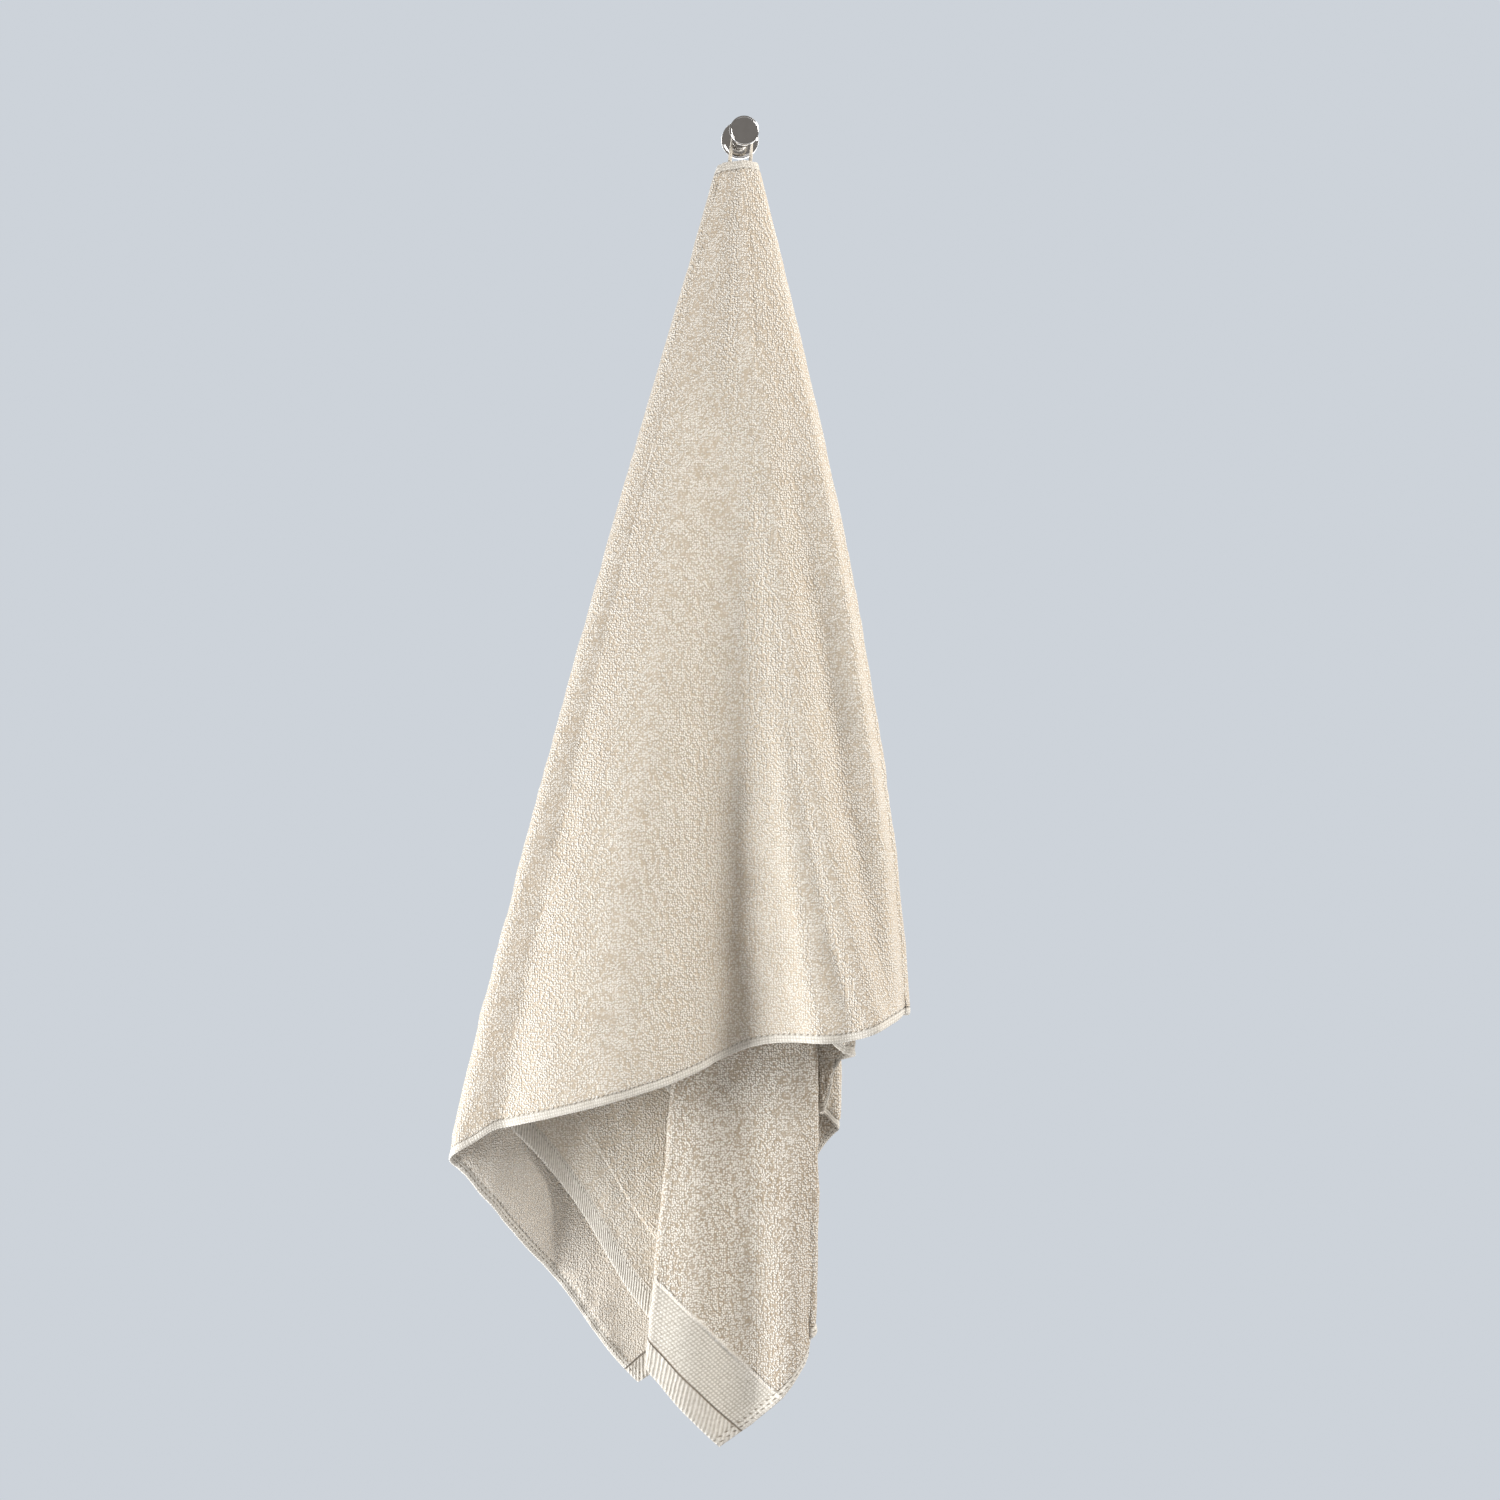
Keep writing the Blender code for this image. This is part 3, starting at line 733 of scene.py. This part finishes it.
def terry_finish():
    """Looped pile; hems and bands are woven flat, laid out in metres on the flat towel."""
    finish = Finish("towel_terry", Roughness=0.95, Sheen_Weight=0.3, Sheen_Roughness=0.55,
                    Specular_IOR_Level=0.12)
    cloth = finish.node("ShaderNodeUVMap", {"uv_map": "cloth"})
    place = finish.node("ShaderNodeTexCoord", None, None, "Object")
    along, across, _ = finish.split(cloth)
    inner = finish.node("ShaderNodeAttribute", {"attribute_name": "inner"}, None, "Fac")
    from_side = across.low(TOWEL_WIDTH - across)
    from_end = along.low(TOWEL_LENGTH - along)

    side_hem = 1.0 - from_side.rise(SIDE_HEM - WEAVE_EDGE, SIDE_HEM + WEAVE_EDGE)
    end_hem = 1.0 - from_end.rise(END_HEM - WEAVE_EDGE, END_HEM + WEAVE_EDGE)
    band_inside = 1.0 - from_end.rise(BAND_END - 0.0008, BAND_END + 0.0004)
    right_end = along.rise(TOWEL_LENGTH * 0.4, TOWEL_LENGTH * 0.6)
    # The band is woven clean on the right end's inner face, and nearly all pile elsewhere
    clean_weave = inner * right_end * 0.8 + 0.2
    ridge = from_end.line((BAND_END + RIDGE_END) / 2.0, RIDGE_WIDTH) * clean_weave
    woven = side_hem.high(end_hem).high(band_inside * clean_weave)

    def clouds(width, detail=2.0, roughness=0.5):
        inputs = {"Vector": place, "Scale": 1.0 / width, "Detail": detail, "Roughness": roughness}
        return finish.node("ShaderNodeTexNoise", None, inputs)

    def ripples(across_place, pitch, wobble=0.0):
        return (across_place * (2.0 * math.pi / pitch) + wobble).wave() * 0.5 + 0.5

    spots = {"Vector": place, "Scale": 1.0 / LOOP_PITCH, "Randomness": 0.7}
    cells = finish.node("ShaderNodeTexVoronoi", {"feature": "F1"}, spots, "Distance")
    # Plain numbers, here and in the tones, are weights and thresholds
    loops = 1.0 - cells.rise(0.15, 0.72)
    clumps = clouds(CLUMP_WIDTH)
    nap = clouds(NAP_WIDTH, 3.0, 0.6)
    pile = loops * 0.9 + clumps * 0.25 - 0.08
    pile_height = pile * PILE_HEIGHT + nap * NAP_HEIGHT

    wobble = clouds(WOBBLE_WIDTH, 1.0) * RIB_WOBBLE
    ribs = ripples(across + from_end * RIB_LEAN, RIB_PITCH, wobble)
    canvas = ripples(along, CANVAS_PITCH) * ripples(across, CANVAS_PITCH)
    slubs = clouds(SLUB_WIDTH, 2.0, 0.7)
    rib_height = ribs * RIB_HEIGHT + slubs * RIB_SLUB_HEIGHT
    canvas_height = canvas * CANVAS_HEIGHT + slubs * SLUB_HEIGHT
    flat_height = finish.blend(canvas_height, rib_height, end_hem)

    # The seam: a groove in the bump, and a painted shadow line in the tone, mostly on the inner
    # face
    seam_and_shadow = from_end.line(END_HEM, SEAM_WIDTH) * (inner * 0.85 + 0.15)
    steps = ((along + across) / STITCH_PITCH).part()
    dashes = steps.rise(0.10, 0.25) * (1.0 - steps.rise(0.75, 0.90))
    side_rows = from_side.line(SIDE_HEM, STITCH_WIDTH)
    second_row = from_side.line(SIDE_HEM - SECOND_STITCH, FINE_STITCH_WIDTH) * inner
    end_row = from_end.line(END_HEM - END_STITCH, FINE_STITCH_WIDTH) * (1.0 - inner)
    stitch_line = side_rows.high(second_row).high(end_row)
    stitches = stitch_line * dashes
    height = finish.blend(pile_height, flat_height, woven)
    height = height + ridge * RIDGE_HEIGHT - seam_and_shadow * SEAM_DEPTH
    finish.bump(height - stitch_line * STITCH_DEPTH + stitches * THREAD_HEIGHT)

    tip = shade(PILE_TIP)
    # Inner faces: the left end's is painted light all over, the right end's painted shade all over
    inner_root_light_and_shade = finish.colour(shade(LEFT_INNER_ROOT_LIT), shade(RIGHT_INNER_ROOT_SHADE), right_end)
    # Root tone between the loops: painted shade where the loops shadow each other
    root = finish.colour(shade(OUTER_ROOT_SHADE), inner_root_light_and_shade, inner)
    pile_tone = finish.colour(root, tip, pile * 1.35 + (nap - 0.5) * 0.3)
    weave = finish.blend(canvas * 1.2, ribs * 0.6, end_hem)
    lit_threads = weave + slubs * 1.1 + side_hem * 0.2 - 0.25
    flat_tone = finish.colour(shade(THREAD_GAP), shade(THREAD), lit_threads)
    tone = finish.colour(pile_tone, flat_tone, woven)
    tone = finish.colour(tone, tip, ridge * 0.7)
    # Painted shadow along the seam
    tone = finish.colour(tone, shade(SEAM_SHADOW_TONE), seam_and_shadow * 0.8)
    # Painted shade: the stitch lines' groove is darker between the raised stitches
    tone = finish.colour(tone, shade(STITCH_GROOVE_SHADE), (stitch_line - stitches).high(0.0) * 0.8)
    finish.drive("Base Color", tone)
    return finish.material


def tape_finish():
    finish = Finish("loop_tape", Roughness=0.8, Sheen_Weight=0.15, Specular_IOR_Level=0.25)
    along, across, _ = finish.split(finish.node("ShaderNodeUVMap", {"uv_map": "tape"}))
    twill = ((along + across) * (2.0 * math.pi / TWILL_PITCH)).wave() * 0.5 + 0.5
    edge = across.size().rise(TAPE_WIDTH * 0.30, TAPE_WIDTH * 0.46)
    finish.bump(twill * TWILL_HEIGHT + edge * TAPE_EDGE_HEIGHT)
    weave = finish.colour(shade(TAPE_DARK), shade(TAPE_LIGHT), twill)
    finish.drive("Base Color", finish.colour(weave, shade(TAPE_EDGE), edge * 0.6))
    return finish.material


def chrome_finish():
    """Polished chrome, a little duller where hands and cloth have rubbed it."""
    finish = Finish("hook_chrome", Metallic=1.0)
    place = finish.node("ShaderNodeTexCoord", None, None, "Object")
    smear_inputs = {"Vector": place, "Scale": SMEAR_SCALE, "Detail": 3.0}
    smears = finish.node("ShaderNodeTexNoise", None, smear_inputs)
    grain = finish.node("ShaderNodeTexNoise", None, {"Vector": place, "Scale": GRAIN_SCALE})
    finish.drive("Roughness", smears * 0.08 + grain * 0.04 + 0.03)
    finish.drive("Base Color", finish.colour(shade(CHROME_DARK), shade(CHROME_LIGHT), smears))
    return finish.material


# Pieces


def add_piece(name, mesh, material):
    piece = bpy.data.objects.new(name, mesh)
    bpy.context.scene.collection.objects.link(piece)
    mesh.materials.clear()
    mesh.materials.append(material)
    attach(piece, "root")
    return piece


def loop_route():
    """Half of the tape's route, on the right: sideways, depth, height and twist."""
    wrap = PEG_RADIUS + TAPE_CLEAR + TAPE_THICKNESS / 2.0
    quarter = [math.pi / 2.0 * k / WRAP_STEPS for k in range(WRAP_STEPS + 1)]
    over_peg = [(wrap * math.sin(a), LOOP_DEPTH, wrap * math.cos(a), 0.0) for a in quarter]
    return over_peg + STRAND


def tape_section(along, twist):
    flat = Vector((0.0, 1.0, 0.0))
    upright = along.cross(flat).normalized()
    angle = math.radians(twist)
    wide = flat * math.cos(angle) + upright * math.sin(angle)
    return wide, along.cross(wide).normalized()


def loop_mesh():
    """The tape: a flat eight-sided ring drawn out along its route, closed at both ends."""
    half = loop_route()
    left = [(-x, depth, z, -twist) for x, depth, z, twist in reversed(half[1:])]
    route = [
        (Vector((x - LOOP_LEAN * min(z, 0.0), -depth, z)), twist)
        for x, depth, z, twist in left + half
    ]
    shell = bmesh.new()
    corner_number = shell.verts.layers.int.new("corner")
    run = shell.verts.layers.float.new("run")
    side = shell.verts.layers.float.new("side")
    count = len(TAPE_OUTLINE)
    ring = bmesh.ops.create_circle(shell, cap_ends=True, segments=count, radius=1.0)["verts"]
    for k, vert in enumerate(ring):
        vert[corner_number] = k
    cap = shell.faces[:]
    length = 0.0
    for k, (place, twist) in enumerate(route):
        ahead = route[min(k + 1, len(route) - 1)][0]
        behind = route[max(k - 1, 0)][0]
        wide, thin = tape_section((ahead - behind).normalized(), twist)
        if k > 0:
            length += (place - behind).length
            drawn = bmesh.ops.extrude_face_region(shell, geom=cap)["geom"]
            if k > 1:  # the first cap closes the tape's start, the others would lie inside it
                bmesh.ops.delete(shell, geom=cap, context="FACES_ONLY")
            cap = [item for item in drawn if isinstance(item, bmesh.types.BMFace)]
            ring = cap[0].verts
        for vert in ring:
            a, b = TAPE_OUTLINE[vert[corner_number]]
            vert[run], vert[side] = length, a * TAPE_WIDTH / 2.0
            vert.co = place + wide * vert[side] + thin * (b * TAPE_THICKNESS / 2.0)
    bmesh.ops.recalc_face_normals(shell, faces=shell.faces)
    tape = shell.loops.layers.uv.new("tape")
    for face in shell.faces:
        face.smooth = True
        for corner in face.loops:
            corner[tape].uv = (corner.vert[run], corner.vert[side])
    mesh = bpy.data.meshes.new("loop")
    shell.to_mesh(mesh)
    shell.free()
    return mesh


def turned_mesh(name, section):
    """A round piece: its half section, radius and distance from the wall, spun about Y."""
    shell = bmesh.new()
    points = [shell.verts.new((radius, -out, 0.0)) for radius, out in section]
    edges = [shell.edges.new(pair) for pair in zip(points, points[1:])]
    bmesh.ops.spin(shell, geom=points + edges, cent=(0.0, 0.0, 0.0), axis=(0.0, 1.0, 0.0),
                   angle=2.0 * math.pi, steps=ROUND_STEPS, use_merge=True)
    bmesh.ops.remove_doubles(shell, verts=shell.verts, dist=1e-6)
    bmesh.ops.recalc_face_normals(shell, faces=shell.faces)
    sharp = [edge for edge in shell.edges if edge.calc_face_angle(0.0) > SHARP_ANGLE]
    bmesh.ops.bevel(shell, geom=sharp, offset=EDGE_BREAK, segments=EDGE_STEPS, profile=0.5,
                    affect="EDGES", material=-1)
    for face in shell.faces:
        face.smooth = face.calc_area() < LARGEST_SMOOTH_FACE
    mesh = bpy.data.meshes.new(name)
    shell.to_mesh(mesh)
    shell.free()
    return mesh


def reach(node):
    """Radius of a round node, and how far its back and front are from the wall."""
    low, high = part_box(node)
    return high[0], -high[1], -low[1]


def plate_section(node, chamfer, steps):
    """Half section of a round plate, chamfered at its back and stepped at its front."""
    radius, back, front = reach(node)
    rear = [(0.0, back), (radius - chamfer, back), (radius, back + chamfer)]
    rim = [(radius - inward, front - lower) for inward, lower in steps]
    return rear + rim + [(0.0, rim[-1][1])]


def peg_section():
    radius, back, front = reach("hook_peg")
    return [(0.0, back), (radius, back), (radius, front), (0.0, front)]


def add_hook(material):
    sections = {
        "flange": plate_section("hook_flange", FLANGE_CHAMFER, FLANGE_FRONT),
        "peg": peg_section(),
        "disc": plate_section("hook_disc", DISC_CHAMFER, DISC_FRONT),
    }
    for name, section in sections.items():
        piece = add_piece("knob_" + name, turned_mesh("knob_" + name, section), material)
        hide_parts("hook_" + name)


# Studio


def make_floor():
    shell = bmesh.new()
    bmesh.ops.create_circle(shell, cap_ends=True, segments=FLOOR_SIDES, radius=FLOOR_RADIUS)
    bmesh.ops.translate(shell, verts=shell.verts, vec=FLOOR_AT)
    mesh = bpy.data.meshes.new("floor")
    shell.to_mesh(mesh)
    shell.free()
    floor = bpy.data.objects.new("floor", mesh)
    bpy.context.scene.collection.objects.link(floor)
    finish = Finish("floor", Base_Color=shade(FLOOR_TONE), Roughness=0.9)
    mesh.materials.append(finish.material)


def add_light(lamp):
    data = bpy.data.lights.new(lamp.name, "AREA")
    data.shape = "RECTANGLE"
    data.size = lamp.width
    data.size_y = lamp.height
    data.energy = lamp.power
    data.color = lamp.colour
    light = bpy.data.objects.new(lamp.name, data)
    bpy.context.scene.collection.objects.link(light)
    towards = Vector(lamp.aim) - Vector(lamp.place)
    light.location = lamp.place
    light.rotation_euler = towards.to_track_quat("-Z", "Y").to_euler()
    light.visible_camera = False


def make_world():
    """Plain pale surroundings, which the camera sees brighter than they light the room."""
    world = bpy.data.worlds.new("studio")
    world.use_nodes = True
    tree = Tree(world.node_tree)
    seen = tree.node("ShaderNodeLightPath", None, None, "Is Camera Ray")
    back = tree.nodes["Background"]
    tree.feed(back.inputs["Color"], tree.colour(ROOM_TONE, BACKDROP_TONE, seen))
    tree.feed(back.inputs["Strength"], tree.blend(AMBIENT, 1.0, seen))
    bpy.context.scene.world = world


def make_camera():
    data = bpy.data.cameras.new("camera")
    camera = bpy.data.objects.new("camera", data)
    bpy.context.scene.collection.objects.link(camera)
    aim_x = (PHOTO_SIZE / 2.0 - ORIGIN_PIXEL[0]) / PIXELS_PER_METRE
    yaw = math.atan2(aim_x - CAMERA_AT[0], -CAMERA_AT[1])
    camera.location = CAMERA_AT
    camera.rotation_euler = (math.pi / 2.0, 0.0, -yaw)
    data.sensor_width = SENSOR
    focal_pixels = PIXELS_PER_METRE * -CAMERA_AT[1] / math.cos(yaw)
    data.lens = SENSOR * focal_pixels / PHOTO_SIZE
    data.dof.use_dof = False
    bpy.context.scene.camera = camera


def main():
    towel = add_piece("towel", towel_mesh(), terry_finish())
    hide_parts("towel_cloth")
    loop = add_piece("loop", loop_mesh(), tape_finish())
    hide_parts("hanging_loop")
    add_hook(chrome_finish())
    make_floor()
    make_world()
    for lamp in LAMPS:
        add_light(lamp)
    make_camera()
    bpy.context.scene.view_settings.view_transform = "Standard"


main()
